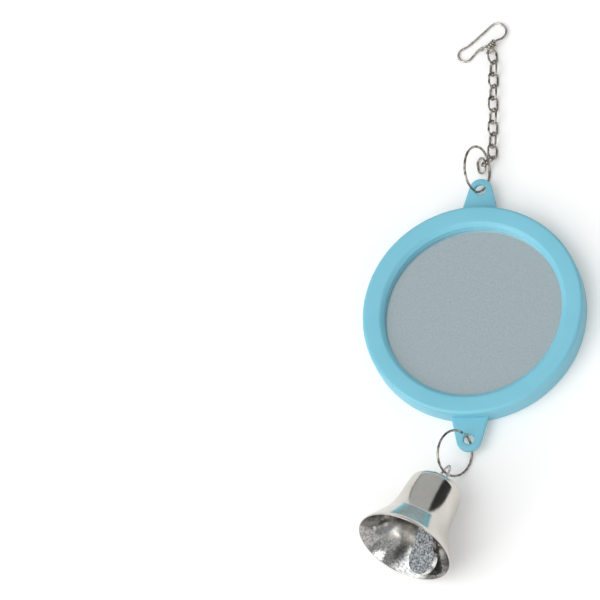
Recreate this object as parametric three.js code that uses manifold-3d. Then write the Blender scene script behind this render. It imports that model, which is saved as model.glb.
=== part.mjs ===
// Bird mirror with bell, lying on a table as it would be laid down.
// Millimetres, +Z up, +Y towards the hook. The origin is the centre of the frame's flat back.
import * as THREE from 'three';
import { mergeVertices } from 'three/addons/utils/BufferGeometryUtils.js';
import Module from 'manifold-3d';

const wasm = await Module();
wasm.setup();

// Frame and mirror
const FRAME_RADIUS = 25;
const FRAME_HEIGHT = 5.6;
const RIM_WIDTH = 4.8;
const RIM_EDGE_ROUND = 0.8;
const BACK_EDGE_ROUND = 0.6;
const LIP_SLOPE_WIDTH = 1.1;
const LIP_SLOPE_DROP = 0.45;
const RECESS_DEPTH = 1.6;
const RECESS_DRAFT = 0.15;
const MIRROR_THICKNESS = 1.2;
const MIRROR_CLEARANCE = 0.1;
const MIRROR_EDGE = 0.15;

// Tabs with their holes
const TAB_THICKNESS = 1.1;
const TAB_UNDERSIDE = 1.9;
const TAB_REACH = 5.0;
const TAB_EDGE = 0.3;
const TAB_ROOT = 1.0;
const UPPER_TAB_BASE = 8.6;
const UPPER_TAB_TIP_RADIUS = 2.6;
const LOWER_TAB_BASE = 8.8;
const LOWER_TAB_TIP_RADIUS = 2.85;
const HOLE_DIAMETER = 2.4;

// Jump rings, each one open turn that leans on the table; a seat is how far past the hole's middle it sits
const RING_DIAMETER = 10.75;
const RING_WIRE = 0.6;
const RING_END_GAP = 0.35;
const RING_END_OFFSET = 0.4;
const RING_OPENING_FROM_HOLE = 27;
const UPPER_RING_SEAT = -0.35;
const UPPER_RING_LEAN = 67.8;
const UPPER_RING_HEADING = 7;
const LOWER_RING_SEAT = 0.25;
const LOWER_RING_LEAN = 58.5;
const LOWER_RING_HEADING = 18.5;

// Chain
const LINK_LENGTH = 4.1;
const LINK_WIDTH = 2.8;
const LINK_WIRE = 0.52;
const LINK_SEAM = 0.12;
const LINK_PLAY = 0.15;
const JOINING_PLAY = 0.11;
const LINK_ROLL = 45;
const STRAIGHT_LINKS = 9;
const CHAIN_HEADING = -1.95;
const FIRST_LINK_TURN = -8;
const JOINING_LINK_ANGLE = 134;
const JOINING_LINK_HEADING = 52;
const SPARE_LINK_HEADING = -12;

// Wire clip
const CLIP_WIRE = 0.55;
const CLIP_SELF_GAP = 0.46;
const CLIP_TURNS = 1.3;
const CLIP_EYE_DIAMETER = 3.0;
const CLIP_EYE_HANG = 40;
const CLIP_SHANK_TILT = 18;
const CLIP_LOBE_RADIUS = 2.15;
const CLIP_LOBE_RIGHT = 0.88;
const CLIP_LOBE_FORWARD = 2.36;
const CLIP_CATCH_RADIUS = 1.6;
const CLIP_CATCH_LEFT = 6.14;
const CLIP_CATCH_BACK = 2.93;

// Bell
const BELL_LENGTH = 18.7;
const BELL_MOUTH_RADIUS = 11.15;
const BELL_WALL = 0.5;
const BELL_LIP_HEIGHT = 0.9;
const BELL_LIP_TAPER = 0.3;
const BELL_FLARE_HEIGHT = 6.1;
const BELL_FLARE_TAPER = 3.3;
const BELL_WAIST_DEPTH = 7.0;
const BELL_WAIST_RADIUS = 6.65;
const BELL_DOME_DEPTH = 2.6;
const BELL_DOME_RADIUS = 6.3;
const BELL_CROWN_RADIUS = 2.6;
const BELL_HEADING = 20.2;
const CROWN_HOLE_DIAMETER = 2.5;

// Hanger and clapper
const HANGER_WIRE = 0.7;
const HANGER_RISE = 3.1;
const HANGER_EYE_HEIGHT = 5.35;
const HANGER_EYE_WIDTH = 2.9;
const HANGER_LEG_SPACING = 1.16;
const HANGER_BAR_DEPTH = 3.3;
const HANGER_BAR_WIDTH = 3.5;
const HANGER_SEAM = 0.15;
const HANGER_ANGLE_ON_RING = 185;
const CLAPPER_SHEET = 0.6;
const CLAPPER_FOLD_CLEARANCE = 0.2;
const CLAPPER_NECK_WIDTH = 1.3;
const CLAPPER_LOBE_RADIUS = 3.5;
const CLAPPER_DROP = 14.2;
const CLAPPER_SIDE = 24;
const CLAPPER_WALL_GAP = 0.35;

// How far wire pieces stay above the table
const TABLE_CLEARANCE = 0.02;

const TURQUOISE = { color: 0x7fc1d4, roughness: 0.42, metalness: 0 };
const SILVERED = { color: 0xa9b5ba, roughness: 0.12, metalness: 1 };
const NICKEL = { color: 0xb9b7b2, roughness: 0.25, metalness: 1 };
const POLISHED = { color: 0xcfccc6, roughness: 0.1, metalness: 1 };
const RAW_STEEL = { color: 0x8d8b88, roughness: 0.6, metalness: 1 };

const UP = new THREE.Vector3(0, 0, 1);
const AXIS_X = new THREE.Vector3(1, 0, 0);
const AXIS_Y = new THREE.Vector3(0, 1, 0);
const vec = (x, y, z) => new THREE.Vector3(x, y, z);
const rad = THREE.MathUtils.degToRad;
const along = (start, direction, distance) => start.clone().addScaledVector(direction, distance);
const headingVector = (degrees) => vec(Math.sin(rad(degrees)), Math.cos(rad(degrees)), 0);

// A wire's centre line, swept through its stations in order
class WireLine extends THREE.Curve {
  constructor(stations) {
    super();
    this.stations = stations;
  }

  getPoint(t, target = new THREE.Vector3()) {
    const place = t * (this.stations.length - 1);
    const low = Math.min(Math.floor(place), this.stations.length - 2);
    return target.lerpVectors(this.stations[low], this.stations[low + 1], place - low);
  }

  getPointAt(u, target) {
    return this.getPoint(u, target);
  }

  getTangentAt(u, target = new THREE.Vector3()) {
    const last = this.stations.length - 1;
    const near = Math.round(u * last);
    const before = this.stations[Math.max(near - 1, 0)];
    const after = this.stations[Math.min(near + 1, last)];
    return target.subVectors(after, before).normalize();
  }
}

function mesh(name, geometry, look) {
  const made = new THREE.Mesh(geometry, new THREE.MeshStandardMaterial(look));
  made.name = name;
  return made;
}

function wireMesh(name, stations, diameter, look, sides = 8) {
  const corners = Array.from({ length: sides }, (_, i) => {
    const angle = (2 * Math.PI * i) / sides;
    return new THREE.Vector2(Math.cos(angle), Math.sin(angle)).multiplyScalar(diameter / 2);
  });
  const geometry = new THREE.ExtrudeGeometry(new THREE.Shape(corners), {
    steps: stations.length - 1,
    extrudePath: new WireLine(stations),
  });
  return mesh(name, geometry, look);
}

// Points of an arc in the plane of two directions
function arc(centre, u, v, radius, from, to, steps) {
  return Array.from({ length: steps + 1 }, (_, i) => {
    const angle = rad(from + ((to - from) * i) / steps);
    return along(along(centre, u, radius * Math.cos(angle)), v, radius * Math.sin(angle));
  });
}

// Evenly spaced points of a smooth bend through a few points
function bend(points, steps) {
  return new THREE.CatmullRomCurve3(points).getSpacedPoints(steps);
}

function place(object, origin, x, y) {
  const z = x.clone().cross(y).normalize();
  object.setRotationFromMatrix(new THREE.Matrix4().makeBasis(x, z.clone().cross(x), z));
  object.position.copy(origin);
  return object;
}

// Where a piece swings on the piece that carries it
function swing(object, point, axis) {
  object.userData.pivot = point.toArray();
  object.userData.axis = axis.clone().normalize().toArray();
  return object;
}

function solid(geometry) {
  const bare = geometry.index ? geometry.toNonIndexed() : geometry.clone();
  bare.deleteAttribute('normal');
  bare.deleteAttribute('uv');
  const merged = mergeVertices(bare, 1e-4);
  return new wasm.Manifold(new wasm.Mesh({
    numProp: 3,
    vertProperties: new Float32Array(merged.attributes.position.array),
    triVerts: new Uint32Array(merged.index.array),
  }));
}

function fromSolid(body) {
  const data = body.getMesh();
  const geometry = new THREE.BufferGeometry();
  geometry.setAttribute('position', new THREE.BufferAttribute(new Float32Array(data.vertProperties), 3));
  geometry.setIndex(new THREE.BufferAttribute(new Uint32Array(data.triVerts), 1));
  geometry.computeVertexNormals();
  return geometry;
}

function turned(profile, segments) {
  return new THREE.LatheGeometry(profile, segments).rotateX(Math.PI / 2);
}

// Frame: one moulding with a closed back, a rounded rim and a drafted recess
const lipRadius = FRAME_RADIUS - RIM_WIDTH;
const lipHeight = FRAME_HEIGHT - LIP_SLOPE_DROP;
const mirrorTop = lipHeight - RECESS_DEPTH;
const mirrorBottom = mirrorTop - MIRROR_THICKNESS;
const seatRadius = lipRadius - RECESS_DRAFT;
const tabMiddle = TAB_UNDERSIDE + TAB_THICKNESS / 2;

function frameProfile() {
  const path = new THREE.Path();
  path.moveTo(0, 0);
  path.lineTo(FRAME_RADIUS - BACK_EDGE_ROUND, 0);
  path.absarc(FRAME_RADIUS - BACK_EDGE_ROUND, BACK_EDGE_ROUND, BACK_EDGE_ROUND, -Math.PI / 2, 0);
  const edge = RIM_EDGE_ROUND;
  path.absarc(FRAME_RADIUS - edge, FRAME_HEIGHT - edge, edge, 0, Math.PI / 2);
  path.lineTo(lipRadius + LIP_SLOPE_WIDTH, FRAME_HEIGHT);
  path.quadraticCurveTo(lipRadius + LIP_SLOPE_WIDTH * 0.5, FRAME_HEIGHT, lipRadius, lipHeight);
  path.lineTo(seatRadius, mirrorTop);
  path.lineTo(seatRadius, mirrorBottom);
  path.lineTo(0, mirrorBottom);
  return path.getPoints(3);
}

function tabSolid(base, tipRadius, side) {
  const rootFromHole = -(TAB_REACH + TAB_ROOT);
  const spread = Math.hypot(base / 2, rootFromHole);
  const tangent = Math.atan2(rootFromHole, base / 2) + Math.acos(tipRadius / spread);
  const outline = new THREE.Shape();
  outline.moveTo(-base / 2, rootFromHole);
  outline.lineTo(base / 2, rootFromHole);
  outline.absarc(0, 0, tipRadius, tangent, Math.PI - tangent);
  outline.closePath();
  const geometry = new THREE.ExtrudeGeometry(outline, {
    depth: TAB_THICKNESS - 2 * TAB_EDGE,
    bevelThickness: TAB_EDGE,
    bevelSize: TAB_EDGE,
    bevelOffset: -TAB_EDGE,
    bevelSegments: 1,
    curveSegments: 12,
  });
  geometry.rotateZ(side > 0 ? 0 : Math.PI);
  geometry.translate(0, side * (FRAME_RADIUS + TAB_REACH), TAB_UNDERSIDE + TAB_EDGE);
  return solid(geometry);
}

// What a drill and a countersink on both faces take out of a tab
function holeSolid(side) {
  const radius = HOLE_DIAMETER / 2;
  const half = TAB_THICKNESS / 2;
  const profile = [
    [0, -half - TAB_EDGE],
    [radius + 2 * TAB_EDGE, -half - TAB_EDGE],
    [radius, -half + TAB_EDGE],
    [radius, half - TAB_EDGE],
    [radius + 2 * TAB_EDGE, half + TAB_EDGE],
    [0, half + TAB_EDGE],
  ].map(([r, z]) => new THREE.Vector2(r, z));
  return solid(turned(profile, 24).translate(0, side * (FRAME_RADIUS + TAB_REACH), tabMiddle));
}

function makeFrame() {
  const body = solid(turned(frameProfile(), 72))
    .add(tabSolid(UPPER_TAB_BASE, UPPER_TAB_TIP_RADIUS, 1))
    .add(tabSolid(LOWER_TAB_BASE, LOWER_TAB_TIP_RADIUS, -1))
    .subtract(holeSolid(1))
    .subtract(holeSolid(-1));
  return mesh('mirror_frame', fromSolid(body), TURQUOISE);
}

function makeMirror() {
  const radius = seatRadius - MIRROR_CLEARANCE;
  const profile = [
    [0, mirrorBottom],
    [radius, mirrorBottom],
    [radius, mirrorTop - MIRROR_EDGE],
    [radius - MIRROR_EDGE, mirrorTop],
    [0, mirrorTop],
  ].map(([r, z]) => new THREE.Vector2(r, z));
  return mesh('mirror_disc', turned(profile, 72), SILVERED);
}

// A jump ring goes down through a tab's hole and leans on the table beside it
const ringRadius = (RING_DIAMETER - RING_WIRE) / 2;

function ringPose(side, seat, lean, heading) {
  const towardsHole = headingVector(heading).multiplyScalar(-side);
  const outward = UP.clone().cross(towardsHole).multiplyScalar(side);
  const downhill = outward.multiplyScalar(Math.cos(rad(lean))).addScaledVector(UP, -Math.sin(rad(lean)));
  const rise = tabMiddle - RING_WIRE / 2 - TABLE_CLEARANCE;
  const holeAngle = Math.asin(1 - rise / (ringRadius * Math.sin(rad(lean))));
  const hole = vec(0, side * (FRAME_RADIUS + TAB_REACH + seat), tabMiddle);
  const centre = along(along(hole, towardsHole, -ringRadius * Math.cos(holeAngle)),
    downhill, -ringRadius * Math.sin(holeAngle));
  return { towardsHole, downhill, holeAngle, hole, centre };
}

function ringPoint(pose, degrees) {
  const [point] = arc(pose.centre, pose.towardsHole, pose.downhill, ringRadius, degrees, degrees, 1);
  const [ahead] = arc(vec(0, 0, 0), pose.towardsHole, pose.downhill, 1, degrees + 90, degrees + 90, 1);
  return { point, tangent: ahead };
}

function makeRing(name, pose) {
  const opening = THREE.MathUtils.radToDeg(pose.holeAngle) - RING_OPENING_FROM_HOLE;
  const halfGap = THREE.MathUtils.radToDeg(RING_END_GAP / 2 / ringRadius);
  const from = opening + halfGap;
  const to = opening + 360 - halfGap;
  const stations = arc(vec(0, 0, 0), AXIS_X, AXIS_Y, ringRadius, from, to, 44);
  stations.forEach((station, i) => station.setZ(RING_END_OFFSET * (i / 44 - 0.5)));
  const ring = wireMesh(name, stations, RING_WIRE, NICKEL);
  place(ring, pose.centre, pose.towardsHole, pose.downhill);
  return swing(ring, pose.hole, UP);
}

const upperPose = ringPose(1, UPPER_RING_SEAT, UPPER_RING_LEAN, UPPER_RING_HEADING);
const lowerPose = ringPose(-1, LOWER_RING_SEAT, LOWER_RING_LEAN, LOWER_RING_HEADING);

// Chain: oval links, each hooked through the end of the one before it
const linkBend = (LINK_WIDTH - LINK_WIRE) / 2;
const linkEnd = (LINK_LENGTH - LINK_WIRE) / 2;
const linkNest = LINK_WIRE + LINK_PLAY;

function makeLink(number, centre, length, width) {
  const straight = linkEnd - linkBend;
  const stations = [
    vec(LINK_SEAM / 2, -linkBend, 0),
    ...arc(vec(straight, 0, 0), AXIS_X, AXIS_Y, linkBend, -90, 90, 8),
    ...arc(vec(-straight, 0, 0), AXIS_X, AXIS_Y, linkBend, 90, 270, 8),
    vec(-LINK_SEAM / 2, -linkBend, 0),
  ];
  const name = `chain_link_${String(number).padStart(2, '0')}`;
  return place(wireMesh(name, stations, LINK_WIRE, NICKEL), centre, length, width);
}

function makeChain() {
  const chain = new THREE.Group();
  chain.name = 'chain';
  const lieHeight = linkBend * Math.sin(rad(LINK_ROLL)) + LINK_WIRE / 2 + TABLE_CLEARANCE;
  const onRing = ringPoint(upperPose, JOINING_LINK_ANGLE);
  const reach = linkEnd - linkNest - JOINING_PLAY;
  const length = headingVector(JOINING_LINK_HEADING);
  const width = onRing.tangent.clone().cross(length).normalize();
  const joining = makeLink(STRAIGHT_LINKS + 1, onRing.point, length, width);
  swing(joining, onRing.point, onRing.tangent);

  const spareSide = along(onRing.point, length, -reach);
  const leanAngle = Math.asin((spareSide.z - LINK_WIRE / 2 - TABLE_CLEARANCE) / (2 * linkBend));
  const spareLength = headingVector(SPARE_LINK_HEADING);
  const lean = vec(-spareLength.y, spareLength.x, 0).multiplyScalar(Math.cos(leanAngle));
  lean.setZ(-Math.sin(leanAngle));
  const spare = makeLink(STRAIGHT_LINKS + 2, along(spareSide, lean, linkBend), spareLength, lean);
  swing(spare, along(onRing.point, length, -linkEnd), width);
  chain.add(joining, spare);

  let end = along(onRing.point, length, reach + linkNest);
  let bar = width;
  let before = length;
  for (let number = STRAIGHT_LINKS; number >= 1; number -= 1) {
    const heading = headingVector(CHAIN_HEADING + (number === 1 ? FIRST_LINK_TURN : 0));
    const level = vec(heading.y, -heading.x, 0);
    const near = along(end, before, -linkNest);
    const settle = Math.asin((lieHeight - near.z) / (2 * linkEnd - linkNest));
    heading.multiplyScalar(Math.cos(settle)).setZ(Math.sin(settle));
    const roll = rad(number % 2 ? LINK_ROLL : -LINK_ROLL);
    const upright = level.clone().cross(heading);
    const across = level.multiplyScalar(Math.cos(roll)).addScaledVector(upright, -Math.sin(roll));
    const link = makeLink(number, along(near, heading, linkEnd), heading, across);
    chain.add(swing(link, end, bar.clone().multiplyScalar(number % 4 < 2 ? 1 : -1)));
    end = along(near, heading, 2 * linkEnd);
    bar = across;
    before = heading;
  }
  chain.userData.end = { point: end, heading: before, bar };
  return chain;
}

// Clip: one wire from the winding round the shank, along the arms and lobes, to the eye
function clipStations(chainEnd) {
  const eyeRadius = (CLIP_EYE_DIAMETER - CLIP_WIRE) / 2;
  const windRadius = CLIP_WIRE + CLIP_SELF_GAP;
  const windLength = CLIP_TURNS * windRadius;
  const flat = CLIP_WIRE / 2 + TABLE_CLEARANCE;
  const shankHeight = windRadius + flat;
  const eyeHang = rad(CLIP_EYE_HANG);
  const hang = along(chainEnd.point, chainEnd.heading, -(LINK_WIRE + CLIP_WIRE) / 2 - LINK_PLAY);
  const eye = hang.clone().add(vec(-eyeRadius * Math.cos(eyeHang), 0, eyeRadius * Math.sin(eyeHang)));
  const shank = headingVector(CLIP_SHANK_TILT);
  const across = vec(shank.y, -shank.x, 0);
  const windStart = along(vec(eye.x, eye.y, shankHeight), shank, CLIP_WIRE + LINK_WIRE + CLIP_SELF_GAP);
  const at = (forward, sideways, height) => {
    const point = along(along(windStart, shank, forward), across, sideways);
    return point.setZ(height);
  };

  const winding = Array.from({ length: 29 }, (_, i) => {
    const share = 1 - i / 28;
    const angle = rad(150 - 360 * CLIP_TURNS * share);
    return at(windLength * share, windRadius * Math.cos(angle), shankHeight + windRadius * Math.sin(angle));
  });

  const windEnd = at(windLength, 0, flat);
  const lobeCentre = windEnd.clone().add(vec(CLIP_LOBE_RIGHT, CLIP_LOBE_FORWARD, 0));
  const catchCentre = windEnd.clone().add(vec(-CLIP_CATCH_LEFT, -CLIP_CATCH_BACK, 0));
  const span = lobeCentre.clone().sub(catchCentre);
  const slope = THREE.MathUtils.radToDeg(Math.atan2(span.y, span.x));
  const spread = Math.acos((CLIP_LOBE_RADIUS - CLIP_CATCH_RADIUS) / span.length());
  const armAngle = slope + THREE.MathUtils.radToDeg(spread);
  const catchLobe = arc(catchCentre, AXIS_X, AXIS_Y, CLIP_CATCH_RADIUS, -42, armAngle - 374, 14);
  const lobe = arc(lobeCentre, AXIS_X, AXIS_Y, CLIP_LOBE_RADIUS, armAngle, -55, 14);
  lobe.forEach((station, i) => station.setZ(flat + (shankHeight - flat) * Math.max(0, i / 14 - 0.3)));
  const lowerArm = bend([
    winding.at(-1),
    at(-0.65 * windRadius, -1.6 * windRadius, shankHeight * 0.85),
    at(-1.4 * windRadius, -2.4 * windRadius, flat * 1.4),
    catchLobe[0],
    catchLobe[1],
  ], 16);
  const [neck] = arc(catchCentre, AXIS_X, AXIS_Y, 1.26 * CLIP_CATCH_RADIUS, 79, 79, 1);
  const upperArm = bend([catchLobe.at(-1), neck, lobe[0]], 9);
  const shankRun = bend([
    lobe.at(-1),
    at(windLength + 0.9 * windRadius, 0.12 * windRadius, shankHeight),
    at(windLength, 0, shankHeight),
    at(0, 0, shankHeight),
    eye.clone().add(vec(0.1 * eyeRadius, CLIP_WIRE + 0.6 * LINK_WIRE, -0.3 * eyeRadius)),
    eye.clone().add(vec(-0.8 * eyeRadius, 0.6 * CLIP_WIRE, -0.2 * eyeRadius)),
    eye.clone().add(vec(-eyeRadius, 0, 0)),
  ], 22);
  const eyeTurn = arc(eye, AXIS_X, UP, eyeRadius, 180, -112, 18);
  return [
    ...winding,
    ...lowerArm.slice(1, -2),
    ...catchLobe,
    ...upperArm.slice(1, -1),
    ...lobe,
    ...shankRun.slice(1, -1),
    ...eyeTurn,
  ];
}

// Least clear space between stretches of one wire that aren't neighbours along it
function leastSelfGap(stations, wire) {
  const fine = new THREE.CatmullRomCurve3(stations).getPoints(stations.length * 3);
  const run = [0];
  for (let i = 1; i < fine.length; i += 1) {
    run.push(run[i - 1] + fine[i].distanceTo(fine[i - 1]));
  }
  let least = Infinity;
  for (let i = 0; i < fine.length; i += 1) {
    for (let j = i + 1; j < fine.length; j += 1) {
      if (run[j] - run[i] > 4 * wire) {
        least = Math.min(least, fine[i].distanceTo(fine[j]) - wire);
      }
    }
  }
  return least;
}

// Bell shell: turned thin wall, seen from its crown at zero height down to its mouth
function bellOutline() {
  const mouth = -BELL_LENGTH;
  const lip = BELL_MOUTH_RADIUS - BELL_LIP_TAPER;
  const flare = BELL_MOUTH_RADIUS - BELL_FLARE_TAPER;
  const crease = mouth + BELL_FLARE_HEIGHT;
  const waist = -BELL_WAIST_DEPTH;
  const path = new THREE.Path();
  path.moveTo(BELL_MOUTH_RADIUS, mouth);
  path.lineTo(lip, mouth + BELL_LIP_HEIGHT);
  path.lineTo(flare, crease);
  path.quadraticCurveTo(BELL_WAIST_RADIUS + 0.16 * (flare - BELL_WAIST_RADIUS),
    (crease + waist) / 2, BELL_WAIST_RADIUS, waist);
  path.quadraticCurveTo(BELL_DOME_RADIUS + 0.1, -BELL_DOME_DEPTH - 0.8, BELL_DOME_RADIUS, -BELL_DOME_DEPTH);
  path.quadraticCurveTo(BELL_DOME_RADIUS - 0.45, 0, BELL_CROWN_RADIUS, 0);
  path.lineTo(CROWN_HOLE_DIAMETER / 2, 0);
  return path.getPoints(5);
}

function inwardOutline(outline) {
  return outline.map((point, i) => {
    if (i === 0) {
      return new THREE.Vector2(point.x - BELL_WALL, point.y);
    }
    if (i === outline.length - 1) {
      return new THREE.Vector2(point.x, point.y - BELL_WALL);
    }
    const run = outline[i + 1].clone().sub(outline[i - 1]).normalize();
    return new THREE.Vector2(point.x - run.y * BELL_WALL, point.y + run.x * BELL_WALL);
  });
}

const bellOuter = bellOutline();
const bellInner = inwardOutline(bellOuter);

function makeBellShell() {
  const profile = [...bellOuter, ...[...bellInner].reverse(), bellOuter[0].clone()];
  return mesh('bell_shell', turned(profile, 48), POLISHED);
}

function innerRadiusAt(height) {
  const above = bellInner.findIndex((point) => point.y >= height);
  if (above < 1) {
    return bellInner[Math.max(above, 0)].x;
  }
  const [low, high] = [bellInner[above - 1], bellInner[above]];
  return THREE.MathUtils.mapLinear(height, low.y, high.y, low.x, high.x);
}

// Hanger: a triangular eye over the crown, two legs through it and a wider eye with a bar inside
const barHeight = -(BELL_WALL + HANGER_BAR_DEPTH);

function makeHanger() {
  const eyeHalf = (HANGER_EYE_WIDTH - HANGER_WIRE) / 2;
  const legHalf = HANGER_LEG_SPACING / 2;
  const barHalf = (HANGER_BAR_WIDTH - HANGER_WIRE) / 2;
  const apex = HANGER_EYE_HEIGHT - HANGER_WIRE / 2;
  const under = -BELL_WALL;
  const half = [
    [0, apex],
    [0.45 * eyeHalf, apex - 0.5],
    [eyeHalf, 0.33 * apex],
    [0.85 * eyeHalf, 0.17 * apex],
    [legHalf, 0.03 * apex],
    [legHalf, under - 0.1],
    [0.9 * barHalf, under - 0.3 * HANGER_BAR_DEPTH],
    [barHalf, under - 0.55 * HANGER_BAR_DEPTH],
    [0.95 * barHalf, under - 0.85 * HANGER_BAR_DEPTH],
    [0.6 * barHalf, barHeight],
    [0.2 * barHalf, barHeight],
  ];
  const right = half.map(([x, z]) => vec(x, 0, z));
  const left = half.slice(1).map(([x, z]) => vec(-x, 0, z));
  const seam = half.length - 4;
  const upperEnd = vec(barHalf, 0, right[seam].z + HANGER_SEAM / 2);
  const lowerEnd = vec(barHalf, 0, right[seam].z - HANGER_SEAM / 2);
  const round = [
    upperEnd,
    ...right.slice(0, seam).reverse(),
    ...left,
    ...right.slice(seam + 1).reverse(),
    lowerEnd,
  ];
  return wireMesh('bell_hanger', bend(round, 64), HANGER_WIRE, NICKEL);
}

// Clapper: a sheet drop folded over the hanger's bar, both leaves cut to one outline
const foldInner = HANGER_WIRE / 2 + CLAPPER_FOLD_CLEARANCE;
const foldOuter = foldInner + CLAPPER_SHEET;
const clapperLength = CLAPPER_DROP + CLAPPER_LOBE_RADIUS;

function dropHalfWidth(drop) {
  const neck = CLAPPER_NECK_WIDTH / 2;
  const beyond = drop - CLAPPER_DROP;
  const round = Math.sqrt(Math.max(0, CLAPPER_LOBE_RADIUS ** 2 - beyond ** 2));
  const shoulder = CLAPPER_DROP - CLAPPER_LOBE_RADIUS * 0.6;
  const taper = THREE.MathUtils.mapLinear(drop, 0, shoulder, neck, CLAPPER_LOBE_RADIUS * 0.8);
  return drop < shoulder ? taper : round;
}

function makeClapper() {
  const fold = new THREE.Shape();
  fold.moveTo(-foldOuter, -clapperLength - 1);
  fold.lineTo(-foldInner, -clapperLength - 1);
  fold.absarc(0, 0, foldInner, Math.PI, 0, true);
  fold.lineTo(foldInner, -clapperLength - 1);
  fold.lineTo(foldOuter, -clapperLength - 1);
  fold.absarc(0, 0, foldOuter, 0, Math.PI);
  const depth = 2 * CLAPPER_LOBE_RADIUS + 2;
  const strip = new THREE.ExtrudeGeometry(fold, { depth, bevelEnabled: false, curveSegments: 12 });
  strip.translate(0, 0, -depth / 2);
  strip.rotateX(Math.PI / 2);
  strip.rotateZ(Math.PI / 2);

  const neck = CLAPPER_NECK_WIDTH / 2;
  const shoulder = Math.asin(0.8);
  const drop = new THREE.Shape();
  drop.moveTo(neck, 0);
  drop.lineTo(neck, foldOuter + 1);
  drop.lineTo(-neck, foldOuter + 1);
  drop.lineTo(-neck, 0);
  drop.absarc(0, -CLAPPER_DROP, CLAPPER_LOBE_RADIUS, Math.PI / 2 + shoulder, Math.PI * 2.5 - shoulder);
  drop.closePath();
  const thick = 2 * foldOuter + 2;
  const cutter = new THREE.ExtrudeGeometry(drop, { depth: thick, bevelEnabled: false, curveSegments: 32 });
  cutter.translate(0, 0, -thick / 2);
  cutter.rotateX(Math.PI / 2);
  return mesh('clapper', fromSolid(solid(strip).intersect(solid(cutter))), RAW_STEEL);
}

// The clapper falls over until one of its edges is nearly at the wall
function clapperLean() {
  for (let lean = 0; lean < 60; lean += 0.1) {
    for (let drop = 1; drop < clapperLength; drop += 0.25) {
      const sideways = drop * Math.sin(rad(lean)) + foldOuter * Math.cos(rad(lean));
      const height = barHeight - drop * Math.cos(rad(lean)) + foldOuter * Math.sin(rad(lean));
      const room = innerRadiusAt(height) - CLAPPER_WALL_GAP - Math.hypot(sideways, dropHalfWidth(drop));
      if (height > -BELL_LENGTH && room < 0) {
        return lean;
      }
    }
  }
  return 60;
}

// The bell hangs on the lower ring and rests on the edge of its mouth
function makeBell() {
  const onRing = ringPoint(lowerPose, HANGER_ANGLE_ON_RING);
  const arm = HANGER_RISE + BELL_LENGTH;
  const tip = Math.hypot(BELL_MOUTH_RADIUS, arm);
  const tilt = Math.acos((onRing.point.z - TABLE_CLEARANCE) / tip) - Math.atan2(arm, BELL_MOUTH_RADIUS);
  const level = headingVector(BELL_HEADING).negate();
  const towardsMouth = level.clone().multiplyScalar(Math.cos(tilt)).setZ(Math.sin(tilt));
  const right = vec(-level.y, level.x, 0);
  const down = right.clone().cross(towardsMouth);
  const side = rad(CLAPPER_SIDE);
  const lean = right.multiplyScalar(Math.sin(side)).addScaledVector(down, Math.cos(side));
  const hinge = towardsMouth.clone().cross(lean);

  const bell = new THREE.Group();
  bell.name = 'bell';
  place(bell, along(onRing.point, towardsMouth, HANGER_RISE), hinge, lean);
  const clapper = makeClapper();
  clapper.position.z = barHeight;
  clapper.rotation.x = rad(clapperLean());
  const bar = along(bell.position, towardsMouth, -barHeight);
  swing(clapper, bar, hinge);
  bell.add(swing(makeBellShell(), onRing.point, onRing.tangent), makeHanger(), clapper);
  return bell;
}

const mirror = new THREE.Group();
mirror.name = 'mirror';
mirror.add(makeFrame(), makeMirror());

const upperHang = new THREE.Group();
upperHang.name = 'upper_hang';
const chain = makeChain();
const clipLine = clipStations(chain.userData.end);
console.log(`spring_clip least gap to itself: ${leastSelfGap(clipLine, CLIP_WIRE).toFixed(3)} mm`);
const clip = wireMesh('spring_clip', clipLine, CLIP_WIRE, NICKEL);
swing(clip, chain.userData.end.point, chain.userData.end.bar);
upperHang.add(makeRing('upper_jump_ring', upperPose), chain, clip);

const lowerHang = new THREE.Group();
lowerHang.name = 'lower_hang';
lowerHang.add(makeRing('lower_jump_ring', lowerPose), makeBell());

const part = new THREE.Group();
part.name = 'bird_mirror_with_bell';
part.add(mirror, upperHang, lowerHang);

export default part;
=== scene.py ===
import math

import bmesh
import bpy
import numpy as np
from mathutils import Matrix, Vector


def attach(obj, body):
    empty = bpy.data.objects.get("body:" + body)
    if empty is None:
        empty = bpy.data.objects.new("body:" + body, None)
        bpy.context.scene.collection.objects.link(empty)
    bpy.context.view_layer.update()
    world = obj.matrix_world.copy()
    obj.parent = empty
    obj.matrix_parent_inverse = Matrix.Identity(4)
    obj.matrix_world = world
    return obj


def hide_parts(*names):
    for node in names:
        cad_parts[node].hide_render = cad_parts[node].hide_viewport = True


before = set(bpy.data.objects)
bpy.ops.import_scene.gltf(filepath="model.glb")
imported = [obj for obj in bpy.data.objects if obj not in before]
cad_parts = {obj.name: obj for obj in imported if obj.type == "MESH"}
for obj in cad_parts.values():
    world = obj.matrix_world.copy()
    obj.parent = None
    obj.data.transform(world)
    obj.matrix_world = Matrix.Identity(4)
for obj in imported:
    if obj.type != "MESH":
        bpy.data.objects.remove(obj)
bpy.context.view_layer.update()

MM = 0.001

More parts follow.
